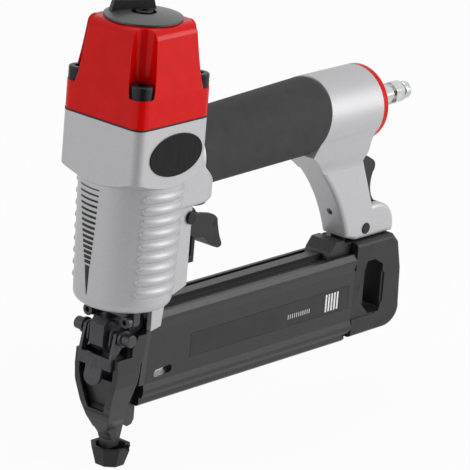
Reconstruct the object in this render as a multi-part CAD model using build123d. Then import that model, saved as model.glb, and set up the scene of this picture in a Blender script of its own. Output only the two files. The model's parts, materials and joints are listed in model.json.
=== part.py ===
from build123d import *
import math
import os

# Pneumatic brad nailer. Millimetres. +Z up, +X to the rear (air plug), the driver
# runs down the Z axis and the underside of the foot lies at z = 0.

# Clearances
seat_gap = 0.05           # between pieces that are bolted or pressed together
run_gap = 0.08            # between a shaft and its bore, per side
side_gap = 0.3            # between pieces that pass each other

# Barrel and square head of the housing
barrel_inset = 0.2        # top of the barrel inside the flat sides of the head
barrel_taper = 1.6
barrel_bottom_z = 87.0
barrel_edge_r = 5.0
head_half = 26.4
head_corner_r = 6.0
head_top_z = 184.6
shoulder_z = 152.4
shoulder_slope = 0.56
chamber_r = 20.5
chamber_floor_z = barrel_bottom_z + 6.5
floor_hole_r = 13.0

# Ribs down both sides of the barrel
rib_count = 9
rib_pitch = 6.16
rib_height = 4.5
rib_rise = 1.0
rib_top_z = 147.4
rib_front_x = -14.5

# Web behind the barrel, with the slot that holds the trigger
web_half = 16.0
web_rear_x = 30.6
web_bottom_z = 90.2
web_bottom_x = 20.5
web_rear_bottom_z = 93.7
trigger_slot_half = 9.0
trigger_slot_x = 24.9
trigger_slot_z = (106.0, 135.0)

# Valve boss under the root of the handle
boss_x = 31.0
boss_reach = 22.0
boss_half = 19.0
boss_bottom_z = 135.5
boss_top_z = 158.0

# Handle tube and grip
tube_r = 20.3
tube_z = 161.0
tube_end_x = 172.25
root_r = 18.9
root_z = 157.3
neck_x = 34.0
grip_start_x = 46.0
grip_end_x = 129.0
grip_wall = 3.2
grip_slant = 12.7
grip_edge_r = 1.6
bore_r = 12.6
bore_start_x = 14.0

# Rear leg that carries the magazine
leg_half = 9.0
leg_edge_r = 2.2
flare_h = 12.0
leg_bottom_z = 86.6
leg_bolt_x = 180.7
leg_bolt_z = leg_bottom_z + 5.6
leg_bolt_r = 3.0
leg_slot_half = 4.2
leg_slot_x = leg_bolt_x - 12.7
leg_slot_h = 10.4
bracket_half = 8.4
leg_hole_z = leg_bottom_z + 16.4
leg_hole_r = 1.9
latch_slot_half = 4.9

# Front lug under the barrel
lug_x = (5.0, 14.8)
lug_y = (-16.2, -13.4)
lug_bottom_z = 73.8

# Cap
gasket_t = 0.8
cap_skirt_h = 14.6
cap_top_z = 232.8
cap_inset = 4.1
cap_top_corner_r = 6.5
cap_top_edge_r = 5.5
cap_bore_r = 18.0
cap_roof_t = 18.8
pocket_r = 6.3
pocket_inset = 5.8
cap_screw_r = 3.0
cap_screw_head_r = 5.4
cap_screw_head_h = 6.6
cap_screw_tip_z = 166.0
vent_r = 2.4
vent_ring_r = 9.0
vent_count = 6

# Oval badges
badge_x = 1.5
badge_z = 169.2
badge_half_l = 19.0
badge_half_h = 10.8
badge_t = 0.5

# Exhaust disc and its turning tab
disc_r = 19.6
disc_edge_t = 1.0
disc_rise = 1.9
disc_recess_r = 6.3
disc_recess_floor = 0.9
tab_length = 24.0
tab_height = 5.4
tab_sink = 1.3
tab_t = 3.6
tab_offset = 5.0
tab_shift = 3.0
tab_angle = 64.8
tab_ribs = 9
tab_rib_r = 0.8
deflector_screw_r = 2.0

# Drive: sleeve, piston and blade
sleeve_r = 15.1
sleeve_wall = 1.9
sleeve_top_z = 178.2
sleeve_flange_h = 7.0
bumper_h = 10.0
bumper_hole_r = 4.0
stroke = 66.0
piston_h = 8.0
ring_h = 2.4
blade_x = 3.0
blade_y = 1.6
blade_tip_z = 72.5

# Head valve
head_valve_t = 3.0
head_valve_h = 12.0
head_spring_r = 9.0
head_spring_wire = 1.6

# Firing valve
valve_x = 43.0
valve_cap_r = 10.0
valve_cap_bottom_z = boss_bottom_z - 4.3
valve_body_r = 8.2
valve_body_top_z = boss_bottom_z + 14.5
valve_bore_r = 5.0
valve_seat_h = 3.0
stem_r = 2.0
stem_tip_z = valve_cap_bottom_z - 3.6
collar_r = 4.6
valve_spring_r = 3.2
valve_spring_wire = 0.8

# Trigger
trigger_pivot = (28.6, 129.0)
trigger_pin_r = 2.4
trigger_pin_head_r = 3.4
trigger_pin_head_h = 1.6
trigger_half = 8.3
trigger_wall = 1.9
lever_pivot = (trigger_pivot[0] + 28.4, trigger_pivot[1] - 10.8)
lever_pin_r = 1.3
lever_half = 4.6
lever_t = 2.0
lever_l = 15.8

# Safety linkage on the far side
safety_travel = 7.0
strap_x = (-3.0, 2.0)
strap_t = 1.8
strap_low_z = 0.9
run_y = (13.3, 15.3)
run_z = (73.6, 79.4)
riser_x = (33.0, 41.0)
cross_z = (99.0, 102.6)
tongue_x = (44.4, 46.8)
tongue_half = 4.8
tongue_top_z = 115.4
safety_spring_x = 37.0
safety_spring_r = 2.2
safety_spring_wire = 0.7
spring_lug_z = (117.0, 120.0)

# Foot
foot_h = 10.0
foot_bottom_r = 7.1
foot_top_r = 9.9
foot_floor = 2.0
foot_hole_r = 2.6
foot_wall = 2.4

# Nose
tip_bottom_z = 9.3
tip_x = (-4.7, 4.2)
tip_half = 3.4
tip_low_half = 2.7
tip_low_x = 2.5
tip_top_z = 33.0
column_x = (-1.7, 8.0)
column_half = 4.8
column_top_z = 58.0
block_half = 8.0
flange_z = (barrel_bottom_z - 3.0, barrel_bottom_z - 0.1)
run_pass_y = 9.0
feed_top_z = 71.5
spigot_r = 12.8
groove_half = 0.95
strap_low_y = tip_half + 0.22
groove_depth = 1.65
nose_pin = (-10.8, 72.3)
nose_pin_r = 2.2
nose_pin_collar_r = 3.3
nose_pin_half = 18.6
nose_boss_half = 4.6
nose_boss_x = -17.0
nose_boss_z = (63.0, 80.8)
nose_screw_x = (-7.8, -3.4)
nose_screw_y = 12.5
nose_screw_z = flange_z[0] - 3.4
nose_screw_r = 2.0
nose_screw_head_r = 3.1
door_pivot = (-3.2, 17.5)
door_pin_r = 0.8
door_top_z = 60.0
door_t = 2.8
door_half = 6.6
door_foot_half = 2.0

cheek_x = (5.8, 9.4)
cheek_y = (9.1, 12.9)
cheek_z = (44.0, 72.4)

# Nose latch
latch_arm_y = (9.3, 11.1)
latch_band_x = (-17.3, -15.7)
latch_band_z = (55.5, 61.8)
latch_tongue_half = 5.4
latch_tongue_z = 46.0
wire_r = 0.7
wire_y = 7.4
bail_pivot = (-9.6, 79.0)

# Nose shell
shell_wall = 1.7
shell_half = 14.2
shell_top_z = 61.5
shell_bottom_z = 20.4
shell_rear_x = 2.0
shell_floor_top_z = 49.0
neck_low_z = 14.6
neck_wall = 1.0
ear_top_z = 72.0

# Magazine rail
mag_front_x = 8.3
rail_end_x = leg_bolt_x - 10.0
rail_half = 9.0
rail_bottom_z = 30.8
rail_top_z = 82.4
rail_floor_z = rail_bottom_z + 7.4
rail_roof_z = rail_top_z - 8.0
rail_bulge_z = rail_top_z - 3.2
rail_top_half = 3.0
rail_back_y = (6.0, 8.4)
rail_end_t = 2.0
bracket_screw_x = (rail_end_x - 13.9, rail_end_x - 5.7)
bracket_screw_r = 1.5

# Magazine cover
cover_front_x = (6.4, 10.6)
cover_end_x = rail_end_x + side_gap
cover_y = 12.3
cover_inner_y = 9.6
cover_z = (rail_bottom_z + 5.8, rail_top_z - 2.0)
cover_bulge = 0.7
cover_bead_h = (7.2, 9.2)
handle_half = 13.0
handle_top_z = leg_bottom_z - 0.4
handle_bottom_z = rail_bottom_z + 2.8
label_x = (41.0, 167.0)
label_z = (51.0, 64.0)
label_t = 0.3
window_x = (14.5, 28.0)
window_z = (46.2, 50.2)
finger_x = (cover_end_x + 8.2, cover_end_x + 23.0)
finger_z = (44.5, 75.0)
finger_corner = 6.0
cover_screw_x = cover_end_x + 4.0
cover_screw_l = 6.0
cover_screw_z = 60.6
cover_screw_r = 1.4

# Pusher
pusher_x = (10.4, 30.0)
pusher_y = (-8.4, 5.2)
pusher_z = (41.0, 71.5)
pusher_blade_t = 1.2
rod_y = -4.6
rod_z = 46.5
rod_r = 1.5
rod_seat_l = 5.0
roll_r = 7.0
roll_hole_r = 4.6
roll_z = 60.0
roll_x = 22.4

# Magazine latch on the leg
latch_pivot = (leg_bolt_x + 9.5, leg_bottom_z + 12.4)
latch_pin_r = 1.5
latch_half = 4.2

# Air plug and the end cap that carries it
plug_thread_r = 6.6
plug_flange_r = 8.2
plug_flange_t = 2.1
plug_neck_r = 4.9
plug_hex = 11.4
plug_hex_at = 24.85
plug_hex_l = 6.8
plug_groove_r = 3.7
plug_collar_at = 34.25
plug_collar_l = 4.6
plug_bore_r = 2.6
end_screw_r = 2.0
end_screw_l = 10.0
end_screw_ring_r = 16.4
end_screw_pocket_r = 3.5
end_screw_seat = 1.6
end_cap_t = 3.9
end_spigot_l = 9.0
end_ring_r = 0.9


# Levels and radii that follow from the values above
barrel_top_r = head_half - barrel_inset
barrel_r = barrel_top_r - barrel_taper
cap_base_z = head_top_z + gasket_t
cap_skirt_z = cap_base_z + cap_skirt_h
cap_roof_z = cap_top_z - cap_roof_t
cap_top_half = head_half - cap_inset
pocket_floor_z = cap_skirt_z
pocket_at = head_half - pocket_inset
disc_z = cap_top_z + 0.2
disc_top_z = disc_z + disc_edge_t + disc_rise
sleeve_outer_r = sleeve_r + sleeve_wall
seal_ring_r = chamber_r - seat_gap - 1.1
seal_ring_z = chamber_floor_z + sleeve_flange_h / 2
bumper_top_z = chamber_floor_z + bumper_h
piston_bottom_z = bumper_top_z + 0.1 + stroke


def block(x, y, z):
    """Box between the low and high value on each axis."""
    centre = [(low + high) / 2 for low, high in (x, y, z)]
    size = [high - low for low, high in (x, y, z)]
    return Pos(*centre) * Box(*size)


def rod_along_z(radius, z, x=0, y=0):
    return Pos(x, y, (z[0] + z[1]) / 2) * Cylinder(radius, z[1] - z[0])


def rod_along_x(radius, x, y=0, z=0):
    return Pos((x[0] + x[1]) / 2, y, z) * Rot(0, 90, 0) * Cylinder(radius, x[1] - x[0])


def rod_along_y(radius, y, x=0, z=0):
    return Pos(x, (y[0] + y[1]) / 2, z) * Rot(90, 0, 0) * Cylinder(radius, y[1] - y[0])


def side_plate(outline, y):
    """Outline of (x, z) points, or a closed face in the XZ plane, between two y values."""
    if isinstance(outline, list):
        outline = make_face(Polyline(*[(px, 0, pz) for px, pz in outline], close=True))
    return extrude(Pos(0, y[0], 0) * outline, amount=y[1] - y[0], dir=(0, 1, 0))


def cross_plate(outline, x):
    """Outline of (y, z) points between two x values."""
    face = make_face(Polyline(*[(x[0], py, pz) for py, pz in outline], close=True))
    return extrude(face, amount=x[1] - x[0], dir=(1, 0, 0))


def both_sides(shape):
    return shape + mirror(shape, about=Plane.XZ)


def square_tower(half, z, corner_r):
    """Upright square prism with rounded corners."""
    tower = block((-half, half), (-half, half), z)
    return fillet(tower.edges().filter_by(Axis.Z), corner_r)


def coil(radius, wire, z, turns, x=0, y=0):
    """Compression spring with its outer faces at the two z values."""
    height = z[1] - z[0] - 2 * wire
    path = Helix(pitch=height / turns, height=height, radius=radius)
    section = Plane(origin=path @ 0, z_dir=path % 0) * Circle(wire / 2)
    return Pos(x, y, z[0] + wire) * sweep(section, path=path)


def o_ring(radius, section, z):
    return Pos(0, 0, z) * Torus(radius, section / 2)


# ---- housing ----

def leg_outline():
    """Side face of the leg: concave front edge, straight back and a round heel."""
    low = leg_bottom_z
    x = leg_bolt_x
    top = tube_z - tube_r + 2.8
    front = ThreePointArc((x - 58.7, 0, top), (x - 30.8, 0, low + 32.5), (x - 14.9, 0, low + 2.7))
    sole = Polyline((x - 14.9, 0, low + 2.7), (x - 6.9, 0, low), (x + 23.6, 0, low))
    heel = Spline((x + 23.6, 0, low), (x + 23.9, 0, low + 5.4), (x + 20.3, 0, low + 13.2),
                  (x + 12.9, 0, low + 17.3), (x + 4.9, 0, low + 17.6))
    inside = tube_z - 6
    back = Polyline((x + 4.9, 0, low + 17.6), (x - 7.7, 0, low + 47.6), (x - 9.8, 0, top),
                    (x - 9.8, 0, inside), (x - 58.7, 0, inside), (x - 58.7, 0, top))
    return make_face(front + sole + heel + back)


def leg_flare():
    """Smooth widening of the leg where it runs up into the handle tube."""
    low = tube_z - tube_r - flare_h
    half = leg_half - 0.01
    top = (tube_r * 0.93, tube_z - 7)
    wall = Spline((0, half, low), (0, half + 2.6, low + flare_h * 0.55), (0, top[0], top[1]),
                  tangents=((0, 0.05, 1), (0, 0.55, 1)))
    outline = wall + Polyline((0, top[0], top[1]), (0, 0, top[1]), (0, 0, low), (0, half, low))
    side = extrude(make_face(outline), amount=tube_end_x, dir=(1, 0, 0))
    flare = both_sides(side)
    flare &= side_plate(leg_outline(), (-tube_r, tube_r))
    return flare & slant_cut(0)


def grip_body(wall):
    """Tapered handle under or over the rubber, wall inside the outer skin."""
    start = Plane(origin=(grip_start_x - 26, 0, root_z), z_dir=(1, 0, 0)) * Circle(root_r - wall)
    middle = Plane(origin=(grip_end_x + 8, 0, tube_z), z_dir=(1, 0, 0)) * Circle(tube_r - wall)
    return loft([start, middle])


def slant_cut(gap):
    """Everything to the rear of the slanted end of the grip."""
    cutter = Pos(60, 0, 0) * Box(120, 80, 80)
    return Pos(grip_end_x + gap, 0, tube_z) * Rot(0, grip_slant, 0) * cutter


def valve_boss(extra=0.0):
    """Rounded boss under the handle root that holds the firing valve."""
    plan = Pos(boss_x, 0, boss_bottom_z) * Ellipse(boss_reach + extra, boss_half + extra)
    oval = extrude(plan, amount=boss_top_z - boss_bottom_z, dir=(0, 0, 1))
    return oval + block((8, boss_x), (-boss_half - extra, boss_half + extra), (boss_bottom_z, boss_top_z))


def barrel_r_at(z):
    """Radius of the tapered barrel at height z."""
    share = (z - barrel_bottom_z) / (shoulder_z - barrel_bottom_z)
    return barrel_r + (barrel_top_r - barrel_r) * share


def housing_shell():
    head = square_tower(head_half, (shoulder_z, head_top_z), head_corner_r)
    grow = head_top_z - shoulder_z
    cone = Pos(0, 0, shoulder_z + grow / 2) * Cone(barrel_top_r, barrel_top_r + grow / shoulder_slope, grow)
    barrel_h = shoulder_z + 1 - barrel_bottom_z
    barrel = Pos(0, 0, barrel_bottom_z + barrel_h / 2) * Cone(barrel_r, barrel_r_at(shoulder_z + 1), barrel_h)
    barrel = fillet(barrel.edges().group_by(Axis.Z)[0], barrel_edge_r)
    web_sides = [(4, 152), (web_rear_x, 152), (web_rear_x, web_rear_bottom_z),
                 (web_bottom_x, web_bottom_z), (4, web_bottom_z)]
    web = side_plate(web_sides, (-web_half, web_half))
    web = fillet(web.edges().filter_by(Axis.Z).group_by(Axis.X)[-1], 1.5)
    boss = valve_boss()
    boss = fillet(boss.edges().group_by(Axis.Z)[0], 2.0)
    neck = rod_along_x(root_r, (10, neck_x), z=root_z + 0.3)
    tube = rod_along_x(tube_r, (grip_start_x + 60, tube_end_x), z=tube_z) & slant_cut(0)
    leg = side_plate(leg_outline(), (-leg_half, leg_half))
    leg = fillet(leg.faces().sort_by(Axis.Y)[0].edges() + leg.faces().sort_by(Axis.Y)[-1].edges(), leg_edge_r)
    lug = side_plate([(lug_x[0], 92), (lug_x[0], lug_bottom_z), (lug_x[1] - 2.4, lug_bottom_z + 1.4),
                      (lug_x[1], 92)], lug_y)
    shell = (head & cone) + barrel + web + boss + neck + grip_body(grip_wall) + tube + leg + leg_flare() + lug
    return shell + barrel_ribs() + spring_lug()


def barrel_ribs():
    """Rounded beads that wrap the barrel from their front ends back to the web."""
    section_r = (rib_height ** 2 / 4 + rib_rise ** 2) / (2 * rib_rise)
    slot = Pos(rib_front_x + 30, 0, 0) * SlotOverall(60, rib_height)
    slot = extrude(Plane.XZ * slot, amount=30, both=True)
    ribs = []
    for index in range(rib_count):
        z = rib_top_z - index * rib_pitch
        bead = Torus(barrel_r_at(z) + rib_rise - section_r, section_r) & slot
        ribs.append(Pos(0, 0, z) * (bead - Cylinder(chamber_r + 1, rib_height)))
    return Part() + ribs


def spring_lug():
    """Small ledge on the far side of the web, above the safety spring."""
    lug = block((web_rear_x - 4, riser_x[1]), (web_half - 5.5, web_half), spring_lug_z)
    return lug - rod_along_z(1.5, spring_lug_z, safety_spring_x, (run_y[0] + run_y[1]) / 2)


def latch_slot():
    """Recess up the back of the leg for the magazine latch."""
    x, z = latch_pivot
    outline = [(x - 20.7, z + 37), (x - 18.7, z + 25), (x - 13.7, z + 13), (x - 8.7, z + 2),
               (x - 5.7, z - 5.0), (x + 6.3, z - 5.0), (x + 6.6, z + 11), (x - 4.2, z + 37)]
    return side_plate(outline, (-latch_slot_half, latch_slot_half))


def body_housing():
    body = housing_shell()
    body -= rod_along_z(chamber_r, (chamber_floor_z, head_top_z + 1))
    body -= rod_along_z(floor_hole_r, (barrel_bottom_z - 1, chamber_floor_z + 1))
    body -= rod_along_x(bore_r, (bore_start_x, tube_end_x + 1), z=tube_z)
    body -= rod_along_z(valve_body_r + seat_gap, (boss_bottom_z - 1, valve_body_top_z + 2), valve_x)
    body -= block((trigger_slot_x, web_rear_x + 5), (-trigger_slot_half, trigger_slot_half), trigger_slot_z)
    body -= rod_along_y(trigger_pin_r + seat_gap, (-20, 20), *trigger_pivot)
    for x_sign in (-1, 1):
        for y_sign in (-1, 1):
            hole = rod_along_z(cap_screw_r + seat_gap, (cap_screw_tip_z - 1, head_top_z + 1),
                               x_sign * pocket_at, y_sign * pocket_at)
            body -= hole
    body -= block((leg_slot_x, leg_bolt_x + 11.3), (-leg_slot_half, leg_slot_half),
                  (leg_bottom_z - 2, leg_bottom_z + leg_slot_h))
    body -= rod_along_y(leg_bolt_r + seat_gap, (-12, 12), leg_bolt_x, leg_bolt_z)
    body -= rod_along_x(leg_hole_r, (155, 166), z=leg_hole_z)
    body -= latch_slot()
    body -= rod_along_y(latch_pin_r + seat_gap, (-7, 12), *latch_pivot)
    for angle in end_screw_angles():
        y, z = end_screw_place(angle)
        body -= rod_along_x(end_screw_r + seat_gap, (tube_end_x - end_screw_l - 1, tube_end_x + 1), y, z)
    return body


# ---- cap, gasket and exhaust ----

def pocket_places():
    return [(x_sign * pocket_at, y_sign * pocket_at) for x_sign in (-1, 1) for y_sign in (-1, 1)]


def cap_gasket():
    gasket = square_tower(head_half + 0.15, (head_top_z, cap_base_z), head_corner_r)
    gasket -= rod_along_z(chamber_r, (head_top_z - 1, cap_base_z + 1))
    for x, y in pocket_places():
        gasket -= rod_along_z(cap_screw_r + seat_gap, (head_top_z - 1, cap_base_z + 1), x, y)
    return gasket


def cylinder_cap():
    skirt = square_tower(head_half, (cap_base_z, cap_skirt_z), head_corner_r)
    lower = Pos(0, 0, cap_skirt_z) * RectangleRounded(2 * head_half, 2 * head_half, head_corner_r)
    upper = Pos(0, 0, cap_top_z) * RectangleRounded(2 * cap_top_half, 2 * cap_top_half, cap_top_corner_r)
    crown = loft([lower, upper])
    crown = fillet(crown.edges().group_by(Axis.Z)[-1], cap_top_edge_r)
    for x, y in pocket_places():
        crown -= rod_along_z(pocket_r, (pocket_floor_z, cap_top_z + 1), x, y)
    cap = skirt + crown
    cap -= rod_along_z(cap_bore_r, (cap_base_z - 1, cap_roof_z))
    cap -= rod_along_z(deflector_screw_r + seat_gap, (cap_roof_z + 5, cap_top_z + 1))
    for index in range(vent_count):
        angle = math.radians(360 * index / vent_count)
        place = (vent_ring_r * math.cos(angle), vent_ring_r * math.sin(angle))
        cap -= rod_along_z(vent_r, (cap_roof_z - 1, cap_top_z + 1), *place)
    for x, y in pocket_places():
        cap -= rod_along_z(cap_screw_r + seat_gap, (cap_base_z - 1, pocket_floor_z + 1), x, y)
    return cap


def socket_screw(shank_r, head_r, head_h, length):
    """Socket head screw, head up, its seat at the origin."""
    head = fillet(rod_along_z(head_r, (0, head_h)).edges().group_by(Axis.Z)[-1], head_h * 0.12)
    socket = extrude(Pos(0, 0, head_h * 0.45) * RegularPolygon(head_r * 0.5, 6), amount=head_h)
    return head - socket + rod_along_z(shank_r, (-length, 0.5))


def cap_screws():
    screw = socket_screw(cap_screw_r, cap_screw_head_r, cap_screw_head_h, pocket_floor_z - cap_screw_tip_z)
    return [Pos(x, y, pocket_floor_z + seat_gap) * screw for x, y in pocket_places()]


def exhaust_disc():
    """Shallow dome over the exhaust vents, open underneath towards its rim."""
    dome_r = (disc_r ** 2 + disc_rise ** 2) / (2 * disc_rise)
    dome = Pos(0, 0, disc_top_z - dome_r) * Sphere(dome_r)
    disc = rod_along_z(disc_r, (disc_z, disc_top_z)) & dome
    disc -= rod_along_z(disc_recess_r, (disc_z + disc_recess_floor, disc_top_z + 1))
    disc -= rod_along_z(deflector_screw_r + run_gap, (disc_z - 1, disc_top_z + 1))
    return disc - tab_foot()


def tab_placed(shape):
    return Rot(0, 0, tab_angle) * Pos(tab_offset, tab_shift, 0) * shape


def tab_foot():
    """Slot in the disc for the foot of the tab."""
    half = tab_length / 2 - 2
    return tab_placed(block((0, tab_t), (-half, half), (disc_top_z - tab_sink - 0.4, disc_top_z + 1)))


def exhaust_deflector():
    """Ribbed finger tab that stands on the disc behind its centre screw."""
    length = tab_length / 2
    side = [(-length, 0), (length, 0), (length - 1.5, tab_height), (-length + 1.5, tab_height)]
    tab = cross_plate(side, (0, tab_t))
    ribs = []
    for index in range(tab_ribs):
        y = (index - (tab_ribs - 1) / 2) * (tab_length - 5) / (tab_ribs - 1)
        ribs.append(rod_along_z(tab_rib_r, (0.6, tab_height), tab_t - 0.1, y))
        ribs.append(rod_along_x(tab_rib_r, (0.2, tab_t), y, tab_height - 0.1))
    tab = tab + ribs
    standing = tab_placed(Pos(0, 0, disc_top_z - tab_sink) * tab)
    return standing - exhaust_disc()


def deflector_screw():
    screw = socket_screw(deflector_screw_r, 4.4, 2.4, 12.0)
    return Pos(0, 0, disc_z + disc_recess_floor + seat_gap) * screw


# ---- handle ----

def end_screw_angles():
    return [45 + 90 * index for index in range(4)]


def end_screw_place(angle):
    turn = math.radians(angle)
    return end_screw_ring_r * math.cos(turn), tube_z + end_screw_ring_r * math.sin(turn)


def grip_sleeve():
    skin = grip_body(0)
    skin -= slant_cut(-0.1)
    rear_edge = skin.edges().group_by(Axis.X)[-1]
    skin = fillet(rear_edge, grip_edge_r)
    skin -= grip_body(grip_wall - seat_gap)
    skin -= block((-30, neck_x + seat_gap), (-40, 40), (120, 200))
    skin -= valve_boss(seat_gap)
    skin -= side_plate(leg_outline(), (-leg_half - seat_gap, leg_half + seat_gap))
    return skin


def end_cap():
    """Disc on the end of the handle tube, with a spigot in the bore and four screw pockets."""
    face_x = tube_end_x + end_cap_t
    inner_x = tube_end_x - end_spigot_l
    cap = rod_along_x(tube_r, (tube_end_x, face_x), z=tube_z)
    cap = fillet(cap.edges().group_by(Axis.X)[-1], 0.8)
    cap += rod_along_x(bore_r - seat_gap, (inner_x, tube_end_x + 0.5), z=tube_z)
    cap -= spigot_ring(0.1)
    cap -= rod_along_x(plug_thread_r + seat_gap, (inner_x - 1, face_x + 1), z=tube_z)
    for angle in end_screw_angles():
        y, z = end_screw_place(angle)
        cap -= rod_along_x(end_screw_r + seat_gap, (tube_end_x - 1, face_x + 1), y, z)
        cap -= rod_along_x(end_screw_pocket_r, (tube_end_x + end_screw_seat, face_x + 1), y, z)
    return cap


def spigot_ring(extra=0.0):
    """O-ring in the middle of the end cap's spigot, or its groove with extra room."""
    ring_x = tube_end_x - end_spigot_l / 2
    return Pos(ring_x, 0, tube_z) * Rot(0, 90, 0) * Torus(bore_r - seat_gap - end_ring_r, end_ring_r + extra)


def end_cap_seal():
    return spigot_ring()


def end_cap_screws():
    screw = socket_screw(end_screw_r, 3.4, 2.2, end_screw_l)
    placed = []
    for angle in end_screw_angles():
        y, z = end_screw_place(angle)
        placed.append(Pos(tube_end_x + end_screw_seat + seat_gap, y, z) * Rot(0, 90, 0) * screw)
    return placed


def air_plug():
    """Nipple for a quick coupler: thread, flange, neck, hexagon, groove and nose collar."""
    face_x = tube_end_x + end_cap_t
    inner_x = tube_end_x - end_spigot_l
    hex_x = face_x + plug_hex_at
    collar_x = face_x + plug_collar_at
    end_x = collar_x + plug_collar_l
    plug = rod_along_x(plug_thread_r, (inner_x, face_x + 0.3))
    plug += rod_along_x(plug_flange_r, (face_x + 0.1, face_x + 0.1 + plug_flange_t))
    plug += rod_along_x(plug_neck_r, (face_x + 2, hex_x + 0.5))
    hexagon = RegularPolygon(plug_hex / 2, 6, major_radius=False)
    nut = extrude(Plane(origin=(hex_x, 0, 0), z_dir=(1, 0, 0)) * hexagon, amount=plug_hex_l)
    nut &= rod_along_x(plug_hex / 2 + 0.55, (hex_x - 1, hex_x + plug_hex_l + 1))
    plug += fillet(nut.edges().filter_by(GeomType.CIRCLE), 0.3)
    plug += rod_along_x(plug_groove_r, (hex_x + plug_hex_l - 0.3, collar_x + 1.1))
    nose = rod_along_x(plug_neck_r, (collar_x, end_x))
    plug += fillet(nose.edges(), 1.1)
    plug -= rod_along_x(plug_bore_r, (inner_x - 1, end_x + 1))
    return Pos(0, 0, tube_z) * plug


def side_badges():
    """Bare oval plates on both sides of the head."""
    oval = Plane.XZ * Pos(badge_x, badge_z, 0) * Ellipse(badge_half_l, badge_half_h)
    near = extrude(oval, amount=badge_t, dir=(0, -1, 0))
    near = Pos(0, -head_half, 0) * near
    return [near, mirror(near, about=Plane.XZ)]


# ---- drive ----

def cylinder_sleeve():
    sleeve = rod_along_z(sleeve_outer_r, (chamber_floor_z, sleeve_top_z))
    sleeve += rod_along_z(chamber_r - seat_gap, (chamber_floor_z, chamber_floor_z + sleeve_flange_h))
    sleeve -= rod_along_z(sleeve_r, (chamber_floor_z - 1, sleeve_top_z + 1))
    sleeve -= o_ring(seal_ring_r, 2.4, seal_ring_z)
    return sleeve


def cylinder_seal():
    return o_ring(seal_ring_r, 2.2, seal_ring_z)


def bumper():
    body = rod_along_z(sleeve_r - run_gap, (chamber_floor_z + 0.1, bumper_top_z))
    body = fillet(body.edges().group_by(Axis.Z)[-1], 1.5)
    return body - rod_along_z(bumper_hole_r, (chamber_floor_z - 1, bumper_top_z + 1))


def piston():
    body = rod_along_z(sleeve_r - run_gap, (piston_bottom_z, piston_bottom_z + piston_h))
    groove_z = piston_bottom_z + piston_h / 2
    groove = rod_along_z(sleeve_r + 1, (groove_z - ring_h / 2, groove_z + ring_h / 2))
    groove -= rod_along_z(sleeve_r - 2.6, (groove_z - ring_h, groove_z + ring_h))
    body -= groove
    body -= blade_slot((piston_bottom_z - 1, piston_bottom_z + 5))
    return body


def blade_slot(z):
    half_x = blade_x / 2 + seat_gap
    half_y = blade_y / 2 + seat_gap
    return block((-half_x, half_x), (-half_y, half_y), z)


def piston_ring():
    z = piston_bottom_z + piston_h / 2
    ring = rod_along_z(sleeve_r - 0.03, (z - ring_h / 2 + 0.05, z + ring_h / 2 - 0.05))
    return ring - rod_along_z(sleeve_r - 2.5, (z - ring_h, z + ring_h))


def driver_blade():
    z = (blade_tip_z, piston_bottom_z + 4.9)
    return block((-blade_x / 2, blade_x / 2), (-blade_y / 2, blade_y / 2), z)


def head_valve():
    """Cup that closes the top of the sleeve."""
    bottom = sleeve_top_z + 0.2
    outer_r = cap_bore_r - run_gap
    valve = rod_along_z(outer_r, (bottom, bottom + head_valve_h))
    return valve - rod_along_z(outer_r - head_valve_t, (bottom + head_valve_t, bottom + head_valve_h + 1))


def head_valve_spring():
    bottom = sleeve_top_z + 0.2 + head_valve_t
    return coil(head_spring_r, head_spring_wire, (bottom, cap_roof_z), 5)


# ---- firing valve ----

def valve_body():
    body = rod_along_z(valve_cap_r, (valve_cap_bottom_z, boss_bottom_z - seat_gap))
    for index in range(4):
        angle = math.radians(45 + 90 * index)
        place = (valve_cap_r * math.cos(angle), valve_cap_r * math.sin(angle))
        body -= rod_along_z(2.2, (valve_cap_bottom_z - 1, valve_cap_bottom_z + 2.4), *place)
    body += rod_along_z(valve_body_r, (valve_cap_bottom_z, valve_body_top_z))
    body -= rod_along_z(valve_bore_r, (valve_cap_bottom_z + 6.8, valve_body_top_z + 1))
    body -= rod_along_z(stem_r + run_gap, (valve_cap_bottom_z - 1, valve_body_top_z))
    for z in valve_seal_levels():
        body -= o_ring(valve_body_r - 0.9, 1.9, z)
    return Pos(valve_x, 0, 0) * body


def valve_seal_levels():
    return (boss_bottom_z + 3.5, valve_body_top_z - 3.5)


def valve_seals():
    return [Pos(valve_x, 0, 0) * o_ring(valve_body_r - 0.9, 1.8, z) for z in valve_seal_levels()]


def valve_seat():
    seat = rod_along_z(valve_bore_r - seat_gap, (valve_body_top_z - valve_seat_h, valve_body_top_z))
    seat -= rod_along_z(stem_r - 0.4 + run_gap, (valve_body_top_z - 10, valve_body_top_z + 1))
    return Pos(valve_x, 0, 0) * seat


def valve_stem():
    collar_z = valve_cap_bottom_z + 7.0
    stem = rod_along_z(stem_r, (stem_tip_z, collar_z + 1))
    stem = fillet(stem.edges().group_by(Axis.Z)[0], 0.6)
    stem += rod_along_z(collar_r, (collar_z, collar_z + 1.8))
    stem += rod_along_z(stem_r - 0.4, (collar_z, valve_body_top_z + 2.5))
    return Pos(valve_x, 0, 0) * stem


def valve_spring():
    z = (valve_cap_bottom_z + 8.8, valve_body_top_z - valve_seat_h)
    return coil(valve_spring_r, valve_spring_wire, z, 4, valve_x)


# ---- trigger ----

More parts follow.
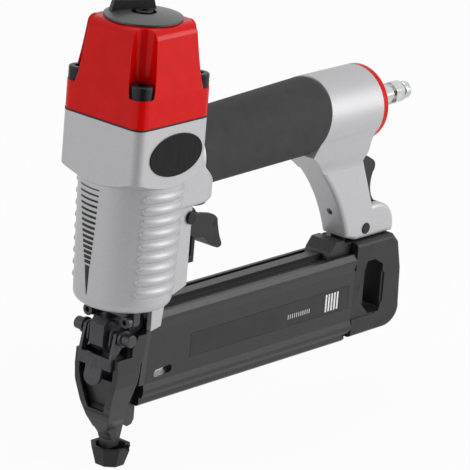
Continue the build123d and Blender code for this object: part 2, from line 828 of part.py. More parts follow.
def trigger_outline():
    """Side view: hub, flat top, rounded back, finger curve and lower edge."""
    x, z = trigger_pivot
    front = Polyline((x - 2.4, 0, z + 2.6), (x + 3.0, 0, z + 3.6), (x + 13.4, 0, z - 2.8),
                     (x + 19.0, 0, z - 3.3))
    top = Spline((x + 19.0, 0, z - 3.3), (x + 23.9, 0, z - 4.4), (x + 28.4, 0, z - 6.3),
                 (x + 30.6, 0, z - 8.8))
    tail = Spline((x + 30.6, 0, z - 8.8), (x + 31.8, 0, z - 14.2), (x + 34.0, 0, z - 20.1),
                  (x + 34.9, 0, z - 23.4), (x + 33.4, 0, z - 24.2), (x + 30.8, 0, z - 23.6))
    finger = Spline((x + 30.8, 0, z - 23.6), (x + 26.6, 0, z - 21.6), (x + 23.2, 0, z - 18.3),
                    (x + 20.2, 0, z - 16.5))
    lower = Polyline((x + 20.2, 0, z - 16.5), (x + 13.4, 0, z - 15.8), (x + 5.4, 0, z - 9.5),
                     (x - 2.4, 0, z - 2.8), (x - 2.4, 0, z + 2.6))
    return make_face(front + top + tail + finger + lower)


def trigger():
    """Moulded trigger, hollow above and in front so that the rocker and the tongue reach in."""
    x, z = trigger_pivot
    body = side_plate(trigger_outline(), (-trigger_half, trigger_half))
    inner = trigger_half - trigger_wall
    hollow = [(x - 9, z + 11), (x + 28.2, z + 11), (x + 30.6, z - 8.4), (x + 30.6, z - 13.0),
              (x + 26.8, z - 16.4), (x + 21.0, z - 12.6), (x + 20.0, z - 29), (x - 9, z - 29)]
    body -= side_plate(hollow, (-inner, inner))
    body -= rod_along_y(trigger_pin_r + run_gap, (-20, 20), x, z)
    return body - rod_along_y(lever_pin_r + seat_gap, (-20, 20), *lever_pivot)


def trigger_pin():
    reach = web_half + seat_gap
    pin = rod_along_y(trigger_pin_r, (-reach, reach), *trigger_pivot)
    head = rod_along_y(trigger_pin_head_r, (-reach - trigger_pin_head_h, -reach), *trigger_pivot)
    head = fillet(head.edges().group_by(Axis.Y)[0], 0.5)
    return pin + head + mirror(head, about=Plane.XZ)


def trigger_spring():
    """Torsion spring round the trigger pin, in the middle of the trigger."""
    turns = coil(trigger_pin_r + 0.75, 0.9, (-3.6, 3.6), 5)
    x, z = trigger_pivot
    return Pos(x, 0, z) * Rot(90, 0, 0) * turns


def trigger_lever():
    """Rocker inside the trigger: its front end lies between the safety tongue and the stem."""
    x, z = lever_pivot
    front = x - lever_l
    top = [(front, z + 6.9), (front + 5.0, z + 6.6), (x - 1.0, z + 1.7)]
    under = [(x - 1.0, z - 1.7), (x - 3.4, z - 1.0), (front + 4.6, z + 6.6 - lever_t),
             (front, z + 6.9 - lever_t)]
    lever = side_plate(top + under, (-lever_half, lever_half))
    hub = rod_along_y(lever_pin_r + 0.6, (-lever_half, lever_half), x, z)
    return lever + hub - rod_along_y(lever_pin_r + run_gap, (-20, 20), x, z)


def lever_pin():
    return rod_along_y(lever_pin_r, (-trigger_half, trigger_half), *lever_pivot)


# ---- safety linkage and foot ----

def safety_arm():
    """Steel linkage: strap up inside the nose shell, run along the far side, riser and tongue."""
    low_y = strap_low_y
    high_y = 9.5
    strap = cross_plate([(low_y, strap_low_z), (low_y, 26.0), (high_y, 50.0), (high_y, run_z[1]),
                         (high_y + strap_t, run_z[1]), (high_y + strap_t, 49.6),
                         (low_y + strap_t, 25.6), (low_y + strap_t, strap_low_z)], strap_x)
    shoulder = block(strap_x, (high_y, run_y[1]), run_z)
    run = block((strap_x[0], riser_x[1]), run_y, run_z)
    riser = block(riser_x, run_y, (run_z[0], cross_z[1]))
    cross = block((riser_x[0], tongue_x[1]), (-tongue_half, run_y[1]), cross_z)
    tongue = block(tongue_x, (-tongue_half, tongue_half), (cross_z[0], tongue_top_z))
    tongue = fillet(tongue.edges().filter_by(Axis.X).group_by(Axis.Z)[-1], 1.5)
    middle = (run_y[0] + run_y[1]) / 2
    guide = rod_along_z(1.2, (cross_z[1] - 1, spring_lug_z[0] + 1.5), safety_spring_x, middle)
    return strap + shoulder + run + riser + cross + tongue + guide


def safety_spring():
    y = (run_y[0] + run_y[1]) / 2
    return coil(safety_spring_r, safety_spring_wire, (cross_z[1], spring_lug_z[0]), 6, safety_spring_x, y)


def foot_cup(bottom_r, top_r, z):
    """Eight-sided cup, flat sides square to the axes."""
    lower = Pos(0, 0, z[0]) * RegularPolygon(bottom_r, 8, major_radius=False, rotation=22.5)
    upper = Pos(0, 0, z[1]) * RegularPolygon(top_r, 8, major_radius=False, rotation=22.5)
    return loft([lower, upper])


def no_mar_foot():
    """Soft cup on the end of the linkage, notched at the back so that the nose tip shows."""
    cup = foot_cup(foot_bottom_r, foot_top_r, (0, foot_h))
    cup = fillet(cup.edges().group_by(Axis.Z)[0], 0.8)
    slope = (foot_top_r - foot_bottom_r) / foot_h
    inner_top_r = foot_top_r - foot_wall
    cup -= foot_cup(foot_bottom_r - foot_wall + slope * foot_floor, inner_top_r, (foot_floor, foot_h))
    cup -= foot_cup(inner_top_r, inner_top_r + 2, (foot_h, foot_h + 2))
    cup -= rod_along_z(foot_hole_r, (-1, foot_floor + 1))
    room = seat_gap
    cup -= block((strap_x[0] - room, strap_x[1] + room), (strap_low_y - room, strap_low_y + strap_t + room),
                 (strap_low_z - room, foot_h + 1))
    notch = Pos(4.0, -9.0, foot_h) * Rot(0, 0, -60) * Box(9, 5.4, 3.0)
    return cup - notch


# ---- nose ----

def nose_body():
    """Steel nose: spigot, flange, block, driver groove, feed slot and tip."""
    body = rod_along_z(spigot_r, (flange_z[1], chamber_floor_z - 0.1))
    body += block((-13.0, 12.0), (-13.0, run_pass_y), flange_z)
    body += block((-13.0, strap_x[0] - side_gap), (-13.0, 13.0), flange_z)
    body += block(column_x, (-block_half, block_half), (column_top_z, flange_z[0] + 1))
    body += block(column_x, (-column_half, column_half), (tip_top_z - 3, column_top_z + 1))
    body += nose_tip()
    body += nose_cheeks()
    low, high = nose_boss_z
    boss = [(column_x[0] + 1, low), (nose_boss_x + 4.0, low), (nose_boss_x, low + 3.8),
            (nose_boss_x, high - 3.0), (nose_boss_x + 3.0, high), (column_x[0] + 1, high)]
    body += side_plate(boss, (-nose_boss_half, nose_boss_half))
    heel_x = column_x[1]
    heel_z = rail_bottom_z - seat_gap
    heel = [(heel_x - 4.0, heel_z), (heel_x + 4.2, heel_z), (heel_x + 4.2, heel_z - 9.0),
            (heel_x + 2.6, heel_z - 11.4), (heel_x - 0.6, heel_z - 12.0), (heel_x - 4.0, heel_z - 10.0)]
    body += side_plate(heel, (-tip_half, tip_half))
    for y in (-nose_screw_y, nose_screw_y):
        ear = block(nose_screw_x, (y - 3.4, y + 3.4), (nose_screw_z, flange_z[1]))
        ear += rod_along_x(3.4, nose_screw_x, y, nose_screw_z)
        body += ear
        hole_x = (nose_screw_x[0] - 1, nose_screw_x[1] + 1)
        body -= rod_along_x(nose_screw_r + seat_gap, hole_x, y, nose_screw_z)
    strap_room = (strap_x[0] - side_gap, strap_x[1] + side_gap)
    body -= block(strap_room, (tip_half, 20), (tip_top_z - 4, tip_top_z + safety_travel))
    door_z = (door_pivot[1] - 2.4, door_top_z + 1.4)
    body -= block((-20, column_x[0]), (-door_half - 0.6, door_half + 0.6), door_z)
    body -= block((-groove_depth, groove_depth), (-groove_half, groove_half), (0, 100))
    body -= block((-20, 0), (-groove_half, groove_half), (door_z[0], door_top_z + 2))
    body -= block((0, 20), (-groove_half, groove_half), (rail_floor_z, feed_top_z))
    body -= rod_along_y(nose_pin_r + seat_gap, (-20, 20), *nose_pin)
    body -= rod_along_y(wire_r + run_gap, (-20, 20), *bail_pivot)
    return body + door_lugs()


def nose_tip():
    """Tip that narrows downwards on both sides and at the back."""
    profile = [(tip_x[0], tip_bottom_z), (tip_low_x, tip_bottom_z), (tip_x[1], tip_top_z - 13.0),
               (tip_x[1], tip_top_z), (tip_x[0], tip_top_z)]
    front = [(-tip_low_half, tip_bottom_z), (tip_low_half, tip_bottom_z), (tip_half, tip_top_z - 13.0),
             (tip_half, tip_top_z), (-tip_half, tip_top_z), (-tip_half, tip_top_z - 13.0)]
    return side_plate(profile, (-tip_half, tip_half)) & cross_plate(front, tip_x)


def nose_cheeks():
    """Plates at both sides of the front end of the magazine, joined by a web behind the column."""
    low, high = cheek_z
    lean = cover_front_lean()
    outline = [(cheek_x[1] - lean * (high - low), low), (cheek_x[1], high), (cheek_x[0], high),
               (cheek_x[0] - lean * (high - low), low)]
    cheeks = both_sides(side_plate(outline, cheek_y))
    web_y = (-cheek_y[0] - 0.5, cheek_y[0] + 0.5)
    return cheeks + block((column_x[1] - 2.4, column_x[1]), web_y, (low, high - 1))


def cover_front_lean():
    """Slope of the front edge of the cover, forward per millimetre down."""
    return (cover_front_x[1] - cover_front_x[0]) / (cover_z[1] - cover_z[0])


def door_lugs():
    x, z = door_pivot
    lugs = []
    for y in ((-tip_half, -door_foot_half - side_gap), (door_foot_half + side_gap, tip_half)):
        lug = block((x - 1.6, column_x[0] + 0.5), y, (z - 2.4, z + 1.9))
        lugs.append(lug - rod_along_y(door_pin_r + seat_gap, (-10, 10), x, z))
    return lugs


def door_pin():
    return rod_along_y(door_pin_r, (-tip_half, tip_half), *door_pivot)


def nose_door():
    """Plate over the driver groove; it hinges at its foot to clear a jam."""
    x, z = door_pivot
    back = column_x[0] - 0.1
    low = tip_top_z + 2
    taper = [(door_foot_half, z), (door_foot_half, low), (door_foot_half + 1.5, low), (door_half, low + 12),
             (door_half, door_top_z)]
    outline = taper + [(-half, level) for half, level in reversed(taper)]
    plate = cross_plate(outline, (back - door_t, back))
    plate += rod_along_y(door_pin_r + 0.7, (-door_foot_half, door_foot_half), x, z)
    plate += block((back - door_t - 2.2, back - 1), (-3.0, 3.0), (door_top_z - 1.6, door_top_z + 0.4))
    return plate - rod_along_y(door_pin_r + run_gap, (-10, 10), x, z)


def nose_screws():
    screw = socket_screw(nose_screw_r, nose_screw_head_r, 3.2, nose_screw_x[1] - nose_screw_x[0] - 0.2)
    seat_x = nose_screw_x[0] - seat_gap
    return [Pos(seat_x, y, nose_screw_z) * Rot(0, -90, 0) * screw for y in (-nose_screw_y, nose_screw_y)]


def nose_pin_shaft():
    x, z = nose_pin
    shaft = rod_along_y(nose_pin_r, (-nose_pin_half, nose_pin_half), x, z)
    for y_sign in (-1, 1):
        low, high = sorted((y_sign * 13.4, y_sign * nose_pin_half))
        collar = rod_along_y(nose_pin_collar_r, (low, high), x, z)
        shaft += fillet(collar.edges(), 0.6)
        low, high = sorted((y_sign * 12.2, y_sign * 13.6))
        shaft += rod_along_y(nose_pin_collar_r + 0.9, (low, high), x, z)
    return shaft


def nose_latch():
    """Stirrup lever: two arms on the nose pin, a front band and a thumb tongue."""
    x, z = nose_pin
    front = latch_band_x[0] + 0.2
    arm = [(x - 3.6, z + 2.4), (x - 1.4, z + 3.6), (x + 1.4, z + 3.6), (x + 3.4, z + 1.4), (x + 3.4, z - 2.6),
           (latch_band_x[1] + 2.3, latch_band_z[1] + 0.7), (latch_band_x[1] + 2.3, latch_band_z[0]),
           (front, latch_band_z[0]), (front, latch_band_z[1])]
    lever = both_sides(side_plate(arm, latch_arm_y))
    reach = latch_arm_y[1]
    lever += block(latch_band_x, (-reach, reach), latch_band_z)
    back, low = latch_band_x[1], latch_band_z[0]
    tongue = [(back - 1.6, low + 2), (back, low + 2), (back - 0.2, low - 1.0), (back - 1.7, latch_tongue_z),
              (back - 3.3, latch_tongue_z), (back - 1.7, low - 1.0)]
    tongue = side_plate(tongue, (-latch_tongue_half, latch_tongue_half))
    tongue &= cross_plate(tongue_front(), (nose_boss_x - 10, column_x[0]))
    lever += tongue
    return lever - rod_along_y(nose_pin_r + run_gap, (-20, 20), x, z)


def tongue_front():
    """Front view of the thumb tongue: straight sides and a round end."""
    half, low = latch_tongue_half, latch_tongue_z
    steps = [math.radians(180 * index / 12) for index in range(13)]
    round_end = [(-half * math.cos(turn), low + half * 0.8 * (1 - math.sin(turn))) for turn in steps]
    return [(-half, latch_band_z[1])] + round_end + [(half, latch_band_z[1])]


def latch_bail():
    """Wire bail hung in the nose boss; its cross bar holds the lip at the top of the door."""
    x, z = bail_pivot
    side = [(x, z), (x - 4.8, z - 4.2), (x - 5.4, z - 10.8), (x - 0.4, z - 15.8), (x + 3.1, z - 17.3)]
    near = [(px, -wire_y, pz) for px, pz in side]
    far = [(px, wire_y, pz) for px, pz in reversed(side)]
    path = FilletPolyline((x, -0.1, z), *near, *far, (x, 0.1, z), radius=1.3)
    section = Plane(origin=path @ 0, z_dir=path % 0) * Circle(wire_r)
    return sweep(section, path=path)


def shell_outline_front(inset, z_low):
    """Front view of the nose shell: half width against height."""
    levels = [(z_low, 4.6), (26.0, 7.7), (33.0, 9.9), (46.0, shell_half - 0.6), (53.0, shell_half + 0.2),
              (shell_top_z, shell_half)]
    half = [(width - inset, z) for z, width in levels]
    return half + [(-width, z) for width, z in reversed(half)]


def shell_outline_side(inset, z_low):
    return [(-9.2 + inset, z_low), (-11.8 + inset, 26.5), (-14.2 + inset, 34.0), (-15.6 + inset, 44.0),
            (-15.2 + inset, shell_top_z), (shell_rear_x, shell_top_z), (1.2, 48.0), (-0.2, 38.0),
            (-1.2, 32.0), (0.8, z_low)]


def nose_shell():
    """Tapered cover round the nose, open at the back and at both ends."""
    outer = cross_plate(shell_outline_front(0, shell_bottom_z), (-30, 20))
    outer = outer & side_plate(shell_outline_side(0, shell_bottom_z), (-30, 30))
    inner = cross_plate(shell_outline_front(shell_wall, shell_bottom_z), (-30, 20))
    profile = shell_outline_side(shell_wall, shell_bottom_z)
    rear = [(30, shell_top_z + 0.01), (30, shell_bottom_z - 0.01)]
    cavity_side = profile[:5] + rear
    inner = inner & side_plate(cavity_side, (-30, 30))
    shell = outer - inner
    window = cross_plate([(-5.4, 31.5), (5.4, 31.5), (11.2, 50.0), (11.6, shell_top_z + 2.5),
                          (-11.6, shell_top_z + 2.5), (-11.2, 50.0)], (-30, -8))
    shell -= window
    shell -= block((strap_x[0] - side_gap, 10), (2.5, 10.0), (10, 34.0))
    shell -= block((-3.0, 10), (-10.0, 10.0), (10, 23.0))
    return shell + shell_neck() + shell_floor() + shell_ears()


def neck_block(inset):
    """Body of the neck, with its front corners cut off so that the foot can slide up round it."""
    low, rim, high = neck_low_z, foot_h + safety_travel + 0.4, shell_bottom_z + 1.0
    profile = [(-6.3 + inset, low), (-7.0 + inset, rim), (-9.0 + inset, high), (-1.4, high), (-1.4, low)]
    half = tip_half + seat_gap + 1.05 * neck_wall - inset
    body = side_plate(profile, (-half, half))
    corner_r = foot_top_r - foot_wall + 0.4
    inner = inset * 0.6
    body &= foot_cup(corner_r - 1.4 - inner, corner_r - 0.6 - inner, (low, rim)) + foot_cup(
        corner_r - 0.6 - inner, corner_r + 2.4 - inner, (rim, high))
    return body


def shell_neck():
    """Narrow end of the shell, in front of the tip and the foot of the door."""
    neck = neck_block(0) - neck_block(neck_wall)
    neck -= block((-3.0, 0), (-tip_half - seat_gap, tip_half + seat_gap), (10, shell_bottom_z + 2))
    return neck - block((strap_x[0] - side_gap, 10), (2.5, 10.0), (10, 34.0))


def shell_floor():
    """Sloping floor of the recess under the latch tongue, clear of the door when it swings out."""
    top = shell_floor_top_z
    slope = [(-13.6, 29.6), (-8.6, 31.2), (-12.5, top), (-13.7, top), (-10.2, 32.8)]
    plate = side_plate(slope, (-shell_half, shell_half))
    return plate & cross_plate(shell_outline_front(shell_wall / 2, shell_bottom_z), (-30, 20))


def shell_ears():
    """Upper rear corners of the shell, beside the nose pin."""
    top = shell_top_z
    ear = [(-5.0, top - 6), (-5.0, top + 4.0), (-1.2, ear_top_z), (cheek_x[0] - 0.4, ear_top_z),
           (shell_rear_x + 1.6, top - 2), (shell_rear_x - 0.4, top - 6)]
    return both_sides(side_plate(ear, (shell_half - shell_wall, shell_half)))


# ---- magazine ----

def rail_section():
    """Channel open to the near side: roof with a bulge, floor with a lip, back wall."""
    roof = [(-rail_half, rail_roof_z + 0.8), (-rail_half + 0.8, rail_roof_z), (rail_back_y[1], rail_roof_z),
            (rail_half, rail_roof_z + 0.6), (rail_half, rail_bulge_z - 1.8), (rail_half - 2.2, rail_bulge_z),
            (rail_top_half, rail_bulge_z), (rail_top_half, rail_top_z), (-rail_top_half, rail_top_z),
            (-rail_top_half, rail_bulge_z), (-rail_half + 2.2, rail_bulge_z),
            (-rail_half, rail_bulge_z - 1.8)]
    floor = [(-rail_half, rail_floor_z), (-rail_half, rail_bottom_z + 1.2), (-rail_half + 1.2, rail_bottom_z),
             (rail_half - 1.2, rail_bottom_z), (rail_half, rail_bottom_z + 1.2), (rail_half, rail_floor_z)]
    back = [(rail_back_y[0], rail_floor_z - 1), (rail_back_y[1], rail_floor_z - 1),
            (rail_back_y[1], rail_roof_z + 1), (rail_back_y[0], rail_roof_z + 1)]
    return roof, floor, back


def magazine_rail():
    rail = Part()
    for outline in rail_section():
        rail += cross_plate(outline, (mag_front_x, rail_end_x))
    nose_end = block((mag_front_x, mag_front_x + rail_end_t), (-rail_half + 0.5, rail_back_y[1]),
                     (rail_floor_z - 1, rail_roof_z + 1))
    nose_end -= block((0, 20), (-groove_half, groove_half), (rail_floor_z, feed_top_z))
    rail += nose_end
    rail -= block((rail_end_x - 18.9, rail_end_x + 1), (-20, 20), (rail_bulge_z, rail_top_z + 1))
    for x in bracket_screw_x:
        rail -= rod_along_z(bracket_screw_r + seat_gap, (rail_bulge_z - 4.5, rail_top_z + 1), x)
    return rail


def magazine_bracket():
    """Hanger between the rail and the leg: a wedge on the rail and a tab in the leg slot."""
    top = leg_bottom_z - 0.4
    low = rail_bulge_z + seat_gap
    end = rail_end_x
    wedge = [(end - 18.6, low), (end, low), (end, top), (end - 4.6, top), (end - 7.0, top + 2.0),
             (end - 13.2, top + 2.0), (end - 17.4, low + 4.0)]
    bracket = side_plate(wedge, (-bracket_half, bracket_half))
    high = leg_bottom_z + leg_slot_h - 0.8
    back = leg_bolt_x + 7.8
    front = leg_slot_x + side_gap
    tab_z = leg_bottom_z + seat_gap
    tab = [(front, top - 2), (end - 0.1, top - 2), (end - 0.1, tab_z), (back, tab_z), (back, high - 2.6),
           (back - 3.0, high), (front + 2.5, high), (front, high - 2.5)]
    half = leg_slot_half - seat_gap
    bracket += side_plate(tab, (-half, half))
    bracket -= rod_along_y(leg_bolt_r + seat_gap, (-12, 12), leg_bolt_x, leg_bolt_z)
    for x in bracket_screw_x:
        bracket -= rod_along_z(bracket_screw_r + seat_gap, (low - 1, leg_bottom_z - 2.0), x)
    return bracket


def bracket_screws():
    """Two screws up through the rail roof into the hanger."""
    z = (rail_bulge_z - 4.0, leg_bottom_z - 2.2)
    return [rod_along_z(bracket_screw_r, z, x) for x in bracket_screw_x]


def leg_bolt():
    reach = leg_half + seat_gap
    bolt = rod_along_y(leg_bolt_r, (-reach - 0.6, reach + 0.6), leg_bolt_x, leg_bolt_z)
    return fillet(bolt.edges(), 0.4)


def cover_profile():
    """Near side panel of the cover, half section in (y, z)."""
    low, high = cover_z
    low_bead, high_bead = cover_bead_h
    proud = -cover_y - cover_bulge
    return [(-cover_inner_y, low), (-cover_y, low), (proud, low + 2.0), (proud, low + low_bead * 0.55),
            (-cover_y, low + low_bead), (-cover_y, high - high_bead), (proud, high - high_bead * 0.55),
            (proud, high - 3.0), (-cover_y + 0.9, high), (-cover_inner_y, high)]


def magazine_cover():
    panel = cross_plate(cover_profile(), (0, cover_end_x))
    (low_x, high_x), (low, high) = cover_front_x, cover_z
    front = [(-1, low - 1), (low_x, low - 1), (low_x, low), (high_x, high), (-1, high)]
    panel -= side_plate(front, (-20, 20))
    panel -= block(label_x, (-20, -cover_y + label_t), label_z)
    far = mirror(panel, about=Plane.XZ)
    slot = Plane.XZ * Pos(sum(window_x) / 2, sum(window_z) / 2, 0) * Rot(0, 0, 4) * SlotOverall(
        window_x[1] - window_x[0], window_z[1] - window_z[0])
    panel -= Pos(0, -cover_y + 1, 0) * extrude(slot, amount=6, both=True)
    return [panel, far]


def window_strip():
    """Bright indicator strip behind the slot in the near panel."""
    z = (window_z[0] - 1.2, window_z[1] + 1.2)
    return block((window_x[0] - 2, window_x[1] + 2), (-cover_inner_y, -cover_inner_y + 0.8), z)


def handle_outline():
    """Side view of the end handle of the cover."""
    x, low, high = cover_end_x, handle_bottom_z, handle_top_z
    front = Polyline((x - 5, 0, high), (x - 5, 0, low), (x + 29.0, 0, low + 0.2))
    corner = Spline((x + 29.0, 0, low + 0.2), (x + 35.0, 0, low + 1.8), (x + 39.2, 0, low + 5.6),
                    (x + 40.4, 0, low + 12.4))
    rear = Polyline((x + 40.4, 0, low + 12.4), (x + 39.2, 0, high - 20.2), (x + 35.4, 0, high - 4.8),
                    (x + 30.6, 0, high), (x - 5, 0, high))
    return make_face(front + corner + rear)


def cover_handle():
    grip = side_plate(handle_outline(), (-handle_half, handle_half))
    grip = fillet(grip.faces().sort_by(Axis.Y)[0].edges() + grip.faces().sort_by(Axis.Y)[-1].edges(), 2.4)
    x0, x1 = finger_x
    z0, z1 = finger_z
    hole = [(x0, z0 + finger_corner), (x0 + finger_corner, z0), (x1 - 1.2, z0), (x1, z0 + 2),
            (x1 - 0.4, z1 - 4.0), (x1 - 7.4, z1), (x0 + 1.2, z1), (x0, z1 - 2)]
    grip -= side_plate(hole, (-20, 20))
    grip -= block((cover_end_x - 6, cover_end_x), (-20, 20), (handle_bottom_z - 1, handle_top_z + 1))
    grip -= both_sides(handle_recess())
    grip -= rod_along_x(rod_r + seat_gap, (cover_end_x - 1, cover_end_x + rod_seat_l + 0.5), rod_y, rod_z)
    return grip - rod_along_y(cover_screw_r + seat_gap, (-20, 20), cover_screw_x, cover_screw_z)


def handle_recess():
    """Shallow recess in one side of the handle that carries on from the panel of the cover."""
    low = cover_z[0] + cover_bead_h[0]
    high = cover_z[1] - cover_bead_h[1]
    rear = finger_x[1] + 1.6
    corner = finger_corner
    outline = [(cover_end_x - 1, low), (rear - corner, low), (rear, low + corner), (rear, high - corner),
               (rear - corner, high), (cover_end_x - 1, high)]
    return side_plate(outline, (-handle_half - 1, -cover_y))


def cover_screws():
    near = rod_along_y(cover_screw_r, (-cover_y, -cover_y + cover_screw_l), cover_screw_x, cover_screw_z)
    return [near, mirror(near, about=Plane.XZ)]


def label_plates():
    """Thin bare plates in the label recesses of both panels."""
    x = (label_x[0] + 0.2, label_x[1] - 0.2)
    z = (label_z[0] + 0.2, label_z[1] - 0.2)
    near = block(x, (-cover_y, -cover_y + label_t), z)
    return [near, mirror(near, about=Plane.XZ)]


def pusher_rod():
    start = mag_front_x + rail_end_t + side_gap
    return rod_along_x(rod_r, (start, cover_end_x + rod_seat_l), rod_y, rod_z)


def nail_pusher():
    body = block(pusher_x, pusher_y, pusher_z)
    room_z = (roll_z - roll_r - 1.5, pusher_z[1] - 2)
    body -= block((pusher_x[0] + 4, pusher_x[1] + 1), (pusher_y[0] + 2.0, pusher_y[1] - 1.6), room_z)
    blade_z = (pusher_z[0] - 0.6, pusher_z[1] - 0.3)
    blade_y_range = (-pusher_blade_t / 2, pusher_blade_t / 2)
    body += block((mag_front_x + side_gap, pusher_x[0] + 1), blade_y_range, blade_z)
    body += rod_along_y(roll_hole_r - 0.4, (pusher_y[0] + 1, pusher_y[1] - 0.5), roll_x, roll_z)
    return body - rod_along_x(rod_r + run_gap, (0, 60), rod_y, rod_z)


def pusher_spring():
    """Constant-force strip, rolled up on the pusher."""
    y = (pusher_y[0] + 2.3, pusher_y[1] - 1.9)
    roll = rod_along_y(roll_r, y, roll_x, roll_z)
    return roll - rod_along_y(roll_hole_r - 0.3, (-20, 20), roll_x, roll_z)


def magazine_latch():
    """Thumb lever in the back of the leg; its toe stands over the cover handle."""
    x, z = latch_pivot
    upper = Spline((x - 14.4, 0, z + 33.0), (x - 9.2, 0, z + 32.4), (x - 4.0, 0, z + 29.8),
                   (x - 0.6, 0, z + 27.0), (x - 0.2, 0, z + 24.6), (x - 1.6, 0, z + 22.0))
    back = Spline((x - 1.6, 0, z + 22.0), (x - 2.8, 0, z + 16.8), (x - 2.2, 0, z + 11.2),
                  (x + 1.2, 0, z + 5.8))
    toe = Polyline((x + 1.2, 0, z + 5.8), (x + 4.2, 0, z + 2.4), (x + 4.4, 0, z - 2.6), (x + 1.6, 0, z - 4.4),
                   (x - 1.8, 0, z - 4.4), (x - 4.3, 0, z - 1.0), (x - 4.8, 0, z + 4.6))
    front = Polyline((x - 4.8, 0, z + 4.6), (x - 9.2, 0, z + 15.0), (x - 12.8, 0, z + 25.0),
                     (x - 14.4, 0, z + 33.0))
    lever = side_plate(make_face(upper + back + toe + front), (-latch_half, latch_half))
    lever -= block((x - 5.2, x + 6), (-2.4, 2.4), (z - 6, z + 4.6))
    return lever - rod_along_y(latch_pin_r + run_gap, (-20, 20), x, z)


def latch_pin():
    return rod_along_y(latch_pin_r, (-6.8, leg_half), *latch_pivot)


def latch_spring():
    x, z = latch_pivot
    return Pos(x, 0, z) * Rot(90, 0, 0) * coil(latch_pin_r + 0.6, 0.7, (-2.2, 2.2), 4)


PARTS = {
    "body_housing": body_housing,
    "cap_gasket": cap_gasket,
    "cylinder_cap": cylinder_cap,
    "cap_screws": cap_screws,
    "exhaust_disc": exhaust_disc,
    "exhaust_deflector": exhaust_deflector,
    "deflector_screw": deflector_screw,
    "grip_sleeve": grip_sleeve,
    "end_cap": end_cap,
    "end_cap_seal": end_cap_seal,
    "end_cap_screws": end_cap_screws,
    "air_plug": air_plug,
    "side_badges": side_badges,
    "cylinder_sleeve": cylinder_sleeve,
    "cylinder_seal": cylinder_seal,
    "bumper": bumper,
    "piston": piston,
    "piston_ring": piston_ring,
    "driver_blade": driver_blade,
    "head_valve": head_valve,
    "head_valve_spring": head_valve_spring,
    "valve_body": valve_body,
    "valve_seals": valve_seals,
    "valve_seat": valve_seat,
    "valve_stem": valve_stem,
    "valve_spring": valve_spring,
    "trigger": trigger,
    "trigger_pin": trigger_pin,
    "trigger_spring": trigger_spring,
    "trigger_lever": trigger_lever,
    "lever_pin": lever_pin,
    "safety_arm": safety_arm,
    "safety_spring": safety_spring,
    "no_mar_foot": no_mar_foot,
    "nose_body": nose_body,
    "door_pin": door_pin,
    "nose_door": nose_door,
    "nose_screws": nose_screws,
    "nose_pin": nose_pin_shaft,
    "nose_latch": nose_latch,
    "latch_bail": latch_bail,
    "nose_shell": nose_shell,
    "magazine_rail": magazine_rail,
    "magazine_bracket": magazine_bracket,
    "bracket_screws": bracket_screws,
    "leg_bolt": leg_bolt,
    "magazine_cover": magazine_cover,
    "window_strip": window_strip,
    "cover_handle": cover_handle,
    "cover_screws": cover_screws,
    "label_plates": label_plates,
    "pusher_rod": pusher_rod,
    "nail_pusher": nail_pusher,
    "pusher_spring": pusher_spring,
    "magazine_latch": magazine_latch,
    "latch_pin": latch_pin,
    "latch_spring": latch_spring,
}

os.makedirs("parts", exist_ok=True)
for name, make in PARTS.items():
    shape = make()
    if isinstance(shape, list):
        shape = Compound(children=shape)
    export_step(shape, f"parts/{name}.step")
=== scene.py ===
import json
import math

import bmesh
import bpy
from mathutils import Matrix, Vector


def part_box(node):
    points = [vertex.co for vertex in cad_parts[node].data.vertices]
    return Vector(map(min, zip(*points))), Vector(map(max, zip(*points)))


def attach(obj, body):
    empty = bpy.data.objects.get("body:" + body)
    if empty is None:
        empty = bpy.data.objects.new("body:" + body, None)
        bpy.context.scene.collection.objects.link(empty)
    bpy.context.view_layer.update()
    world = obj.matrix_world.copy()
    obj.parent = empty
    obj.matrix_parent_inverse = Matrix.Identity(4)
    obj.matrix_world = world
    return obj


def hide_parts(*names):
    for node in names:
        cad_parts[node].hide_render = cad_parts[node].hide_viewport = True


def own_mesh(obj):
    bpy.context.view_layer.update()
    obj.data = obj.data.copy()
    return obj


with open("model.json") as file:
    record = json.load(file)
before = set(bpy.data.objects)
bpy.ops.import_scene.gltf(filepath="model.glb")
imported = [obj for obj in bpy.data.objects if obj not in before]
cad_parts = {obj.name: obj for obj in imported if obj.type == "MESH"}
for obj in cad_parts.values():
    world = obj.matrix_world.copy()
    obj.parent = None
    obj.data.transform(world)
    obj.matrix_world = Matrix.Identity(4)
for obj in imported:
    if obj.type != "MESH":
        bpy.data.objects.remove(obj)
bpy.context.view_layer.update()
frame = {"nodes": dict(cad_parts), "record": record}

MM = 0.001
SEAM = 0.001 * MM  # points nearer than this are one point
INK = 0.1 * MM  # thickness of a print while it is flat


# ---- camera, light and floor ----

def camera():
    """Long lens, slightly above the tool, from its front left, with the small tilt of a hand-set tripod."""
    azimuth = math.radians(50.5)
    elevation = math.radians(18.0)
    roll = math.radians(4.9)
    place = (-1.41706, -1.23733, 0.73672)
    forward = Vector((math.sin(azimuth) * math.cos(elevation), math.cos(azimuth) * math.cos(elevation),
                      -math.sin(elevation)))
    right = Vector((math.cos(azimuth), -math.sin(azimuth), 0.0))
    up = right.cross(forward)
    tilted_right = math.cos(roll) * right + math.sin(roll) * up
    tilted_up = -math.sin(roll) * right + math.cos(roll) * up
    turn = Matrix((tilted_right, tilted_up, -forward)).transposed().to_4x4()
    lens = bpy.data.cameras.new("product_camera")
    lens.lens = 306.4
    lens.sensor_width = 36.0
    holder = bpy.data.objects.new("product_camera", lens)
    holder.matrix_world = Matrix.Translation(place) @ turn
    bpy.context.scene.collection.objects.link(holder)
    bpy.context.scene.camera = holder


